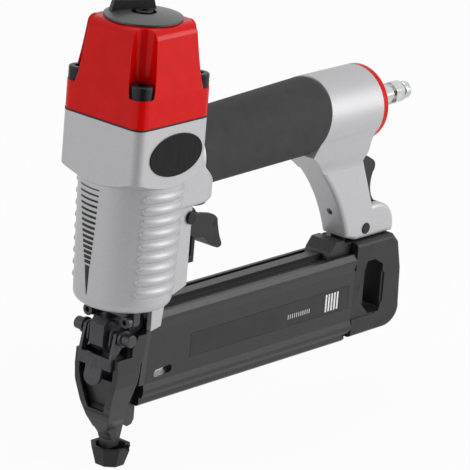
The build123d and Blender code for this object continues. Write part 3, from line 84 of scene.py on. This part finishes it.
def softbox(name, place, size, power):
    """Area lamp that faces the middle of the tool: width and height in metres, power in watts."""
    lamp = bpy.data.lights.new(name, "AREA")
    lamp.shape = "RECTANGLE"
    lamp.size, lamp.size_y = size
    lamp.energy = power
    holder = bpy.data.objects.new(name, lamp)
    middle = Vector((0.09, 0.0, 0.13))
    aim = (middle - Vector(place)).to_track_quat("-Z", "Y")
    holder.location = place
    holder.rotation_euler = aim.to_euler()
    bpy.context.scene.collection.objects.link(holder)


def add(tree, kind, inputs=None, **settings):
    """Adds one node with its settings; a value in inputs is a number, a colour or a socket to link."""
    item = tree.nodes.new(kind)
    for name, value in settings.items():
        setattr(item, name, value)
    for key, value in (inputs or {}).items():
        if isinstance(value, bpy.types.NodeSocket):
            tree.links.new(value, item.inputs[key])
        else:
            item.inputs[key].default_value = value
    return item


def linear(code):
    """An sRGB hex colour such as "C4C4C4" as linear RGBA."""
    values = [int(code[i:i + 2], 16) / 255 for i in (0, 2, 4)]
    return tuple(v / 12.92 if v <= 0.04045 else ((v + 0.055) / 1.055) ** 2.4 for v in values) + (1.0,)


def seen_directly(tree):
    """1 for camera, mirror and glass rays, 0 for the light that falls on things."""
    path = add(tree, "ShaderNodeLightPath")
    first = {0: path.outputs["Is Camera Ray"], 1: path.outputs["Is Glossy Ray"]}
    mirror = add(tree, "ShaderNodeMath", first, operation="MAXIMUM")
    return add(tree, "ShaderNodeMath", {0: mirror.outputs[0], 1: path.outputs["Is Transmission Ray"]},
               operation="MAXIMUM").outputs[0]


def studio():
    """White world that lights softly and is seen as plain white, with three softboxes."""
    soft_light = 0.34
    plain_white = 1.0
    world = bpy.data.worlds.new("white_studio")
    world.use_nodes = True
    tree = world.node_tree
    tree.nodes.clear()
    dim = add(tree, "ShaderNodeBackground", {"Color": linear("FFFFFF"), "Strength": soft_light})
    bright = add(tree, "ShaderNodeBackground", {"Color": linear("FFFFFF"), "Strength": plain_white})
    mix = add(tree, "ShaderNodeMixShader", {0: seen_directly(tree), 1: dim.outputs[0], 2: bright.outputs[0]})
    add(tree, "ShaderNodeOutputWorld", {"Surface": mix.outputs[0]})
    bpy.context.scene.world = world
    softbox("key_right", (1.25, -1.75, 0.85), (1.3, 1.5), 31)
    softbox("fill_left", (-1.85, 0.75, 0.65), (0.8, 1.2), 9)
    softbox("overhead", (0.2, 0.1, 1.9), (1.2, 1.2), 7)
    bpy.context.scene.view_settings.view_transform = "Standard"


def empty_material(name):
    """New material without nodes, and its tree."""
    material = bpy.data.materials.new(name)
    material.use_nodes = True
    material.node_tree.nodes.clear()
    return material, material.node_tree


def object_from(shape, name, material):
    """Turns a bmesh into an object with one material."""
    mesh = bpy.data.meshes.new(name)
    shape.to_mesh(mesh)
    shape.free()
    mesh.materials.append(material)
    item = bpy.data.objects.new(name, mesh)
    bpy.context.scene.collection.objects.link(item)
    return item


def floor():
    """White paper that is seen as nearly plain white and keeps a soft shadow."""
    half_width = 6.0
    plain_share = 0.93
    shape = bmesh.new()
    bmesh.ops.create_grid(shape, x_segments=1, y_segments=1, size=half_width)
    paper, tree = empty_material("white_paper")
    matte = add(tree, "ShaderNodeBsdfDiffuse", {"Color": linear("F4F4F4")})
    glow = add(tree, "ShaderNodeEmission", {"Color": linear("FFFFFF"), "Strength": 1.0})
    share = add(tree, "ShaderNodeMath", {0: seen_directly(tree), 1: plain_share}, operation="MULTIPLY")
    mix = add(tree, "ShaderNodeMixShader", {0: share.outputs[0], 1: matte.outputs[0], 2: glow.outputs[0]})
    add(tree, "ShaderNodeOutputMaterial", {"Surface": mix.outputs[0]})
    object_from(shape, "floor", paper)


def dark_card():
    """Black card that stands in front of the tool and gives the lacquer its soft dark band. Only mirror
    rays meet it, so it casts no shadow and hides nothing."""
    azimuth = math.radians(36.0)
    width, height = 0.42, 0.36
    away = 0.36
    middle_z = 0.19
    shape = bmesh.new()
    bmesh.ops.create_grid(shape, x_segments=1, y_segments=1, size=0.5)
    bmesh.ops.scale(shape, verts=shape.verts, vec=(width, height, 1.0))
    bmesh.ops.rotate(shape, verts=shape.verts, matrix=Matrix.Rotation(math.radians(90.0), 3, "X"))
    bmesh.ops.rotate(shape, verts=shape.verts, matrix=Matrix.Rotation(-azimuth, 3, "Z"))
    place = (-away * math.sin(azimuth), -away * math.cos(azimuth), middle_z)
    bmesh.ops.translate(shape, verts=shape.verts, vec=place)
    velvet, tree = empty_material("black_velvet")
    black = add(tree, "ShaderNodeBsdfDiffuse", {"Color": linear("101010")})
    add(tree, "ShaderNodeOutputMaterial", {"Surface": black.outputs[0]})
    card = object_from(shape, "dark_card", velvet)
    card.visible_camera = False
    card.visible_diffuse = False
    card.visible_shadow = False
    card.visible_transmission = False


# ---- finishes ----

def start(name):
    """New material: its tree, its object coordinates and its main shader, ready for links."""
    material, tree = empty_material(name)
    shader = add(tree, "ShaderNodeBsdfPrincipled")
    add(tree, "ShaderNodeOutputMaterial", {"Surface": shader.outputs[0]})
    place = add(tree, "ShaderNodeTexCoord").outputs["Object"]
    return material, tree, place, shader


def speckle(tree, place, size, detail=2.0):
    """Soft cloud of spots about size millimetres across, from 0 to 1."""
    inputs = {"Vector": place, "Scale": 1 / (size * MM), "Detail": detail}
    return add(tree, "ShaderNodeTexNoise", inputs).outputs["Fac"]


def shade(tree, factor, dark, light, low=0.35, high=0.65):
    """Colour between two hex colours as factor goes from low to high."""
    ramp = add(tree, "ShaderNodeValToRGB", {"Fac": factor})
    ramp.color_ramp.elements[0].position = low
    ramp.color_ramp.elements[0].color = linear(dark)
    ramp.color_ramp.elements[1].position = high
    ramp.color_ramp.elements[1].color = linear(light)
    return ramp.outputs["Color"]


def between(tree, factor, low, high):
    """Number between low and high as factor goes from 0 to 1."""
    inputs = {"Value": factor, "To Min": low, "To Max": high}
    return add(tree, "ShaderNodeMapRange", inputs).outputs["Result"]


def relief(tree, shader, height, depth, edge=0.0):
    """Dents of the given depth in millimetres where height is low, on edges that look rounded to edge
    millimetres, both in the base and in its clear coat."""
    bump = add(tree, "ShaderNodeBump", {"Height": height, "Distance": depth * MM})
    if edge:
        rounded = add(tree, "ShaderNodeBevel", {"Radius": edge * MM}, samples=4)
        tree.links.new(rounded.outputs["Normal"], bump.inputs["Normal"])
    tree.links.new(bump.outputs["Normal"], shader.inputs["Normal"])
    tree.links.new(bump.outputs["Normal"], shader.inputs["Coat Normal"])


def link(tree, shader, **sockets):
    """Links sockets to the shader's inputs, whose names have a space for each _."""
    for name, socket in sockets.items():
        tree.links.new(socket, shader.inputs[name.replace("_", " ")])


def silver_lacquer():
    """Die-cast alloy under sprayed metallic lacquer: fine flakes give a satin sparkle, the spray a faint
    orange peel. Real flakes are 0.05 mm; they are drawn at 0.4 mm so that they show."""
    material, tree, place, shader = start("metallic_lacquer_silver")
    flake = add(tree, "ShaderNodeTexVoronoi", {"Vector": place, "Scale": 1 / (0.4 * MM)})
    tone = add(tree, "ShaderNodeSeparateColor", {"Color": flake.outputs["Color"]}).outputs["Red"]
    link(tree, shader, Base_Color=shade(tree, tone, "B3B3B5", "BCBCBE", 0.0, 1.0),
         Roughness=between(tree, tone, 0.42, 0.5))
    relief(tree, shader, speckle(tree, place, 2.2), 0.012, 0.5)
    shader.inputs["Metallic"].default_value = 0.35
    return material


def red_lacquer():
    """Die-cast alloy under solid red lacquer with a clear gloss coat and a slight ripple from the spray."""
    material, tree, place, shader = start("gloss_lacquer_red")
    link(tree, shader, Base_Color=shade(tree, speckle(tree, place, 9.0), "D00402", "D80604"))
    relief(tree, shader, speckle(tree, place, 3.0, 1.0), 0.008, 0.8)
    shader.inputs["Roughness"].default_value = 0.28
    shader.inputs["Specular IOR Level"].default_value = 0.06
    shader.inputs["Coat Weight"].default_value = 0.22
    shader.inputs["Coat Roughness"].default_value = 0.05
    return material


def black_coat():
    """Extruded or pressed metal under black powder coat: satin, with the fine grain of the baked powder."""
    material, tree, place, shader = start("powder_coat_black")
    grain = speckle(tree, place, 0.6, 3.0)
    link(tree, shader, Base_Color=shade(tree, grain, "1B1B1C", "232324"),
         Roughness=between(tree, grain, 0.32, 0.44))
    relief(tree, shader, grain, 0.015, 0.4)
    shader.inputs["Specular IOR Level"].default_value = 0.4
    return material


def black_oxide():
    """Machined steel blackened in a hot bath: dark, a little metallic, with faint cutter marks. Round the
    nose it is painted a paler grey-black: painted light that stands in for front light on the nose, which
    lies in the barrel's shade."""
    material, tree, place, shader = start("black_oxide_steel")
    stretch = add(tree, "ShaderNodeMapping", {"Vector": place, "Scale": (1.0, 1.0, 0.12)}).outputs[0]
    marks = speckle(tree, stretch, 0.35, 3.0)
    nose_middle = (0.0, 0.0, 40 * MM)
    clear_of_nose, whole_nose = 72 * MM, 56 * MM
    # painted light: a mask that grows towards the nose, where the colour is lightened as if front light fell
    # on it
    far = add(tree, "ShaderNodeVectorMath", {0: place, 1: nose_middle}, operation="DISTANCE")
    reach = {"Value": far.outputs["Value"], "From Min": clear_of_nose, "From Max": whole_nose}
    painted_front_light = add(tree, "ShaderNodeMapRange", reach).outputs["Result"]
    black = shade(tree, marks, "161618", "242426")
    # painted light: the paler grey-black used on the nose in place of front light
    lit_grey_black = shade(tree, marks, "3A3A3D", "4A4A4D")
    tone = add(tree, "ShaderNodeMix", {"Factor": painted_front_light, 6: black, 7: lit_grey_black}, data_type="RGBA")
    link(tree, shader, Base_Color=tone.outputs[2], Roughness=between(tree, marks, 0.3, 0.46))
    relief(tree, shader, marks, 0.01, 0.3)
    shader.inputs["Metallic"].default_value = 0.5
    shader.inputs["Specular IOR Level"].default_value = 0.4
    return material


def bright_steel():
    """Ground or drawn steel, oiled: bright with fine lines along the length."""
    material, tree, place, shader = start("ground_steel")
    stretch = add(tree, "ShaderNodeMapping", {"Vector": place, "Scale": (0.1, 1.0, 1.0)}).outputs[0]
    marks = speckle(tree, stretch, 0.25, 3.0)
    link(tree, shader, Base_Color=shade(tree, marks, "9FA0A2", "B9BABC"),
         Roughness=between(tree, marks, 0.2, 0.36))
    shader.inputs["Metallic"].default_value = 1.0
    return material


def nickel_plate():
    """Turned brass or steel under bright nickel plate: near mirror, with rings left by the lathe."""
    material, tree, place, shader = start("nickel_plate")
    ring_pitch = 0.7 * MM
    waves_per_unit = 6.28
    inputs = {"Vector": place, "Scale": 1 / ring_pitch / waves_per_unit}
    rings = add(tree, "ShaderNodeTexWave", inputs, bands_direction="X")
    link(tree, shader, Base_Color=shade(tree, speckle(tree, place, 4.0), "BFC2C1", "D2D4D3"),
         Roughness=between(tree, rings.outputs["Fac"], 0.1, 0.18))
    relief(tree, shader, rings.outputs["Fac"], 0.006, 0.3)
    shader.inputs["Metallic"].default_value = 1.0
    return material


def hard_anodised():
    """Aluminium with a thick hard anodised skin: dull grey and even, with faint turning lines."""
    material, tree, place, shader = start("hard_anodised_aluminium")
    turned = add(tree, "ShaderNodeMapping", {"Vector": place, "Scale": (0.1, 0.1, 1.0)}).outputs[0]
    lines = speckle(tree, turned, 0.4)
    link(tree, shader, Base_Color=shade(tree, lines, "7C7F80", "929596"),
         Roughness=between(tree, lines, 0.35, 0.5))
    shader.inputs["Metallic"].default_value = 0.85
    return material


def turned_brass():
    """Free-cutting brass straight from the lathe: warm, with fine rings."""
    material, tree, place, shader = start("turned_brass")
    lines = speckle(tree, place, 0.4)
    link(tree, shader, Base_Color=shade(tree, lines, "B08D45", "CDAA5E"),
         Roughness=between(tree, lines, 0.22, 0.35))
    shader.inputs["Metallic"].default_value = 1.0
    return material


def grip_rubber():
    """Moulded nitrile rubber sleeve: matte charcoal, with the 0.7 mm pebble of a spark-eroded mould."""
    material, tree, place, shader = start("moulded_rubber_grip")
    pebble = speckle(tree, place, 0.7, 2.0)
    cloud = speckle(tree, place, 9.0, 3.0)
    both = add(tree, "ShaderNodeMath", {0: pebble, 1: cloud}, operation="ADD").outputs[0]
    half = add(tree, "ShaderNodeMath", {0: both, 1: 0.5}, operation="MULTIPLY").outputs[0]
    link(tree, shader, Base_Color=shade(tree, half, "333334", "3D3D3E"),
         Roughness=between(tree, pebble, 0.7, 0.88))
    relief(tree, shader, pebble, 0.08, 0.5)
    shader.inputs["Specular IOR Level"].default_value = 0.3
    return material


def seal_rubber():
    """Plain black rubber, cut or moulded: matte, with a faint skin."""
    material, tree, place, shader = start("black_rubber")
    grain = speckle(tree, place, 0.8)
    link(tree, shader, Base_Color=shade(tree, grain, "161616", "202020"),
         Roughness=between(tree, grain, 0.5, 0.7))
    relief(tree, shader, grain, 0.02, 0.4)
    shader.inputs["Specular IOR Level"].default_value = 0.35
    return material


def bumper_rubber():
    """Cast polyurethane: tan brown and slightly waxy."""
    material, tree, place, shader = start("cast_polyurethane")
    grain = speckle(tree, place, 2.0)
    link(tree, shader, Base_Color=shade(tree, grain, "5C4630", "6E5438"),
         Roughness=between(tree, grain, 0.4, 0.55))
    return material


def black_nylon():
    """Glass-filled nylon from a textured mould: dark grey, satin, with a 0.5 mm grain."""
    material, tree, place, shader = start("moulded_nylon_black")
    grain = speckle(tree, place, 0.5, 2.0)
    cloud = speckle(tree, place, 14.0)
    link(tree, shader, Base_Color=shade(tree, cloud, "1A1A1B", "232324"),
         Roughness=between(tree, grain, 0.38, 0.52))
    relief(tree, shader, grain, 0.025, 0.5)
    shader.inputs["Specular IOR Level"].default_value = 0.32
    return material


def badge_plastic():
    """Doming resin over black print: deep black and glossy, with hair-fine scratches."""
    material, tree, place, shader = start("gloss_resin_black")
    drawn = add(tree, "ShaderNodeMapping", {"Vector": place, "Scale": (1.0, 1.0, 0.15)}).outputs[0]
    scratch = speckle(tree, drawn, 1.2)
    link(tree, shader, Base_Color=shade(tree, scratch, "0D0D0D", "151515"),
         Roughness=between(tree, scratch, 0.14, 0.24))
    shader.inputs["Specular IOR Level"].default_value = 0.15
    return material


def white_ink():
    """Screen-printed ink: flat off-white with slightly uneven cover."""
    material, tree, place, shader = start("white_ink")
    cover = speckle(tree, place, 0.8, 3.0)
    link(tree, shader, Base_Color=shade(tree, cover, "D6D6D6", "EDEDED"),
         Roughness=between(tree, cover, 0.45, 0.6))
    return material


def black_ink():
    """Pad-printed ink on the lacquer: flat black, slightly duller than the lacquer round it."""
    material, tree, place, shader = start("black_ink")
    cover = speckle(tree, place, 0.8, 3.0)
    link(tree, shader, Base_Color=shade(tree, cover, "121212", "1C1C1C"),
         Roughness=between(tree, cover, 0.4, 0.55))
    shader.inputs["Specular IOR Level"].default_value = 0.3
    return material


def disc_paint():
    """Pressed steel under dark grey stoved enamel: even satin with a fine orange peel."""
    material, tree, place, shader = start("stoved_enamel_grey")
    grain = speckle(tree, place, 0.7)
    link(tree, shader, Base_Color=shade(tree, grain, "3A3B3B", "444646"),
         Roughness=between(tree, grain, 0.3, 0.42))
    relief(tree, shader, grain, 0.012, 0.3)
    return material


FINISH_OF_SLOT = {
    "silver_paint": silver_lacquer,
    "red_paint": red_lacquer,
    "black_coat": black_coat,
    "black_oxide": black_oxide,
    "bare_steel": bright_steel,
    "chrome_plate": nickel_plate,
    "grip_rubber": grip_rubber,
    "seal_rubber": seal_rubber,
    "bumper_rubber": bumper_rubber,
    "black_plastic": black_nylon,
    "badge": badge_plastic,
    "aluminium": hard_anodised,
    "brass": turned_brass,
    "disc_grey": disc_paint,
}


def paint_nodes():
    """Gives every piece of the frame the finish of its slot."""
    made = {name: build() for name, build in FINISH_OF_SLOT.items()}
    for part in frame["record"]["subparts"]:
        piece = frame["nodes"][part["node"]]
        finish = made[part["material_slot"]]
        if piece.material_slots:
            for seat in piece.material_slots:
                seat.material = finish
        else:
            piece.data.materials.append(finish)


# ---- printed and applied details ----

def piece_from(shape, name, material, body):
    """Closes a bmesh, turns its faces outwards and makes it an object that rides on a body."""
    bmesh.ops.remove_doubles(shape, verts=shape.verts, dist=SEAM)
    bmesh.ops.recalc_face_normals(shape, faces=shape.faces)
    piece = object_from(shape, name, material)
    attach(piece, body)


def thicken(shape, faces, offset):
    """Closed plate from flat faces: the faces are copied by offset and walled in."""
    copied = bmesh.ops.extrude_face_region(shape, geom=faces)
    moved = [item for item in copied["geom"] if isinstance(item, bmesh.types.BMVert)]
    bmesh.ops.translate(shape, verts=moved, vec=offset)


def barrel_r(z):
    """Radius of the tapered barrel in metres at a height in millimetres."""
    bottom_z, top_z = 87.0, 152.4
    bottom_r, top_r = 24.6, 26.2
    return (bottom_r + (top_r - bottom_r) * (z - bottom_z) / (top_z - bottom_z)) * MM


def faces_of(verts):
    return list({face for vertex in verts for face in vertex.link_faces})


def add_bar(shape, y, z):
    """One flat bar at x = 0 between two values of y and of z in millimetres."""
    grid = bmesh.ops.create_grid(shape, x_segments=6, y_segments=1, size=0.5)
    for vertex in grid["verts"]:
        across = (y[0] + y[1]) / 2 + vertex.co.x * (y[1] - y[0])
        height = (z[0] + z[1]) / 2 + vertex.co.y * (z[1] - z[0])
        vertex.co = Vector((0, across, height)) * MM
    thicken(shape, faces_of(grid["verts"]), (-INK, 0, 0))


def add_spear(shape):
    """Flat wedge below the bars that runs out to a point, at x = 0."""
    top_y, top_z = 2.4, 109.4
    lean = 0.5
    length = 15.4
    top_width, tip_width = 3.1, 0.05
    grid = bmesh.ops.create_grid(shape, x_segments=4, y_segments=8, size=0.5)
    for vertex in grid["verts"]:
        down = 0.5 - vertex.co.y
        width = top_width * (1 - down) ** 0.8 + tip_width
        across = top_y - lean * down + vertex.co.x * width
        vertex.co = Vector((0, across, top_z - length * down)) * MM
    thicken(shape, faces_of(grid["verts"]), (-INK, 0, 0))


def barrel_bars():
    """Printed black bars down the front of the barrel. They close up and shorten towards a pointed spear."""
    bars = 15
    level = 149.4
    first_span = (-2.9, 11.6)
    last_span = (0.3, 4.5)
    first_pitch, closing = 3.0, 0.6
    first_half, growth = 0.28, 0.54
    face_lift, foot_lift = 0.16 * MM, 0.02 * MM
    shape = bmesh.new()
    for index in range(bars):
        share = index / (bars - 1)
        low = first_span[0] + (last_span[0] - first_span[0]) * share
        high = first_span[1] + (last_span[1] - first_span[1]) * share
        half = first_half + growth * math.sqrt(share)
        add_bar(shape, (low, high), (level - half, level + half))
        level -= first_pitch - closing * share
    add_spear(shape)
    for vertex in shape.verts:
        lift = face_lift if vertex.co.x < -INK / 2 else foot_lift
        radius = barrel_r(vertex.co.z / MM) + lift
        vertex.co.x = -math.sqrt(radius ** 2 - vertex.co.y ** 2)
    piece_from(shape, "barrel_bars", black_ink(), "tool_body")


def label_marks():
    """Plain bars and tick marks, printed near the rear end of each label panel."""
    ink = white_ink()
    low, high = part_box("label_plates")
    for name, face in (("label_marks_near", low[1]), ("label_marks_far", high[1])):
        shape = bmesh.new()
        for x, z in tick_marks():
            mark = bmesh.ops.create_cube(shape, size=1.0)["verts"]
            size = ((x[1] - x[0]) * MM, INK, (z[1] - z[0]) * MM)
            middle = ((x[0] + x[1]) / 2 * MM, face, (z[0] + z[1]) / 2 * MM)
            bmesh.ops.scale(shape, verts=mark, vec=size)
            bmesh.ops.translate(shape, verts=mark, vec=middle)
        piece_from(shape, name, ink, "cover")


def tick_marks():
    """(x, z) spans in millimetres of a block of five plain bars and of a scale of ticks ahead of it."""
    bar_x, bar_pitch, bar_width = 148.0, 2.3, 1.3
    tick_x, tick_pitch, half_tick = 118.0, 1.7, 0.22
    bar_z = (52.8, 62.4)
    tick_z = (55.2, 57.6)
    marks = []
    for index in range(5):
        x = bar_x + index * bar_pitch
        marks.append(((x, x + bar_width), bar_z))
    for index in range(11):
        x = tick_x + index * tick_pitch
        marks.append(((x - half_tick, x + half_tick), tick_z))
    return marks


# ---- springs, copied with their turns merged ----

def spring_copy(node):
    """Copy of a coil spring with its turns merged, in ground steel, riding on the tool body in place of its
    hidden node."""
    shape = bmesh.new()
    shape.from_mesh(frame["nodes"][node].data)
    bmesh.ops.remove_doubles(shape, verts=shape.verts, dist=SEAM)
    piece = object_from(shape, node + "_coil", bright_steel())
    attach(piece, "tool_body")
    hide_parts(node)
    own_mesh(piece)


camera()
studio()
floor()
dark_card()
paint_nodes()
barrel_bars()
label_marks()
spring_copy("safety_spring")
spring_copy("head_valve_spring")
spring_copy("valve_spring")
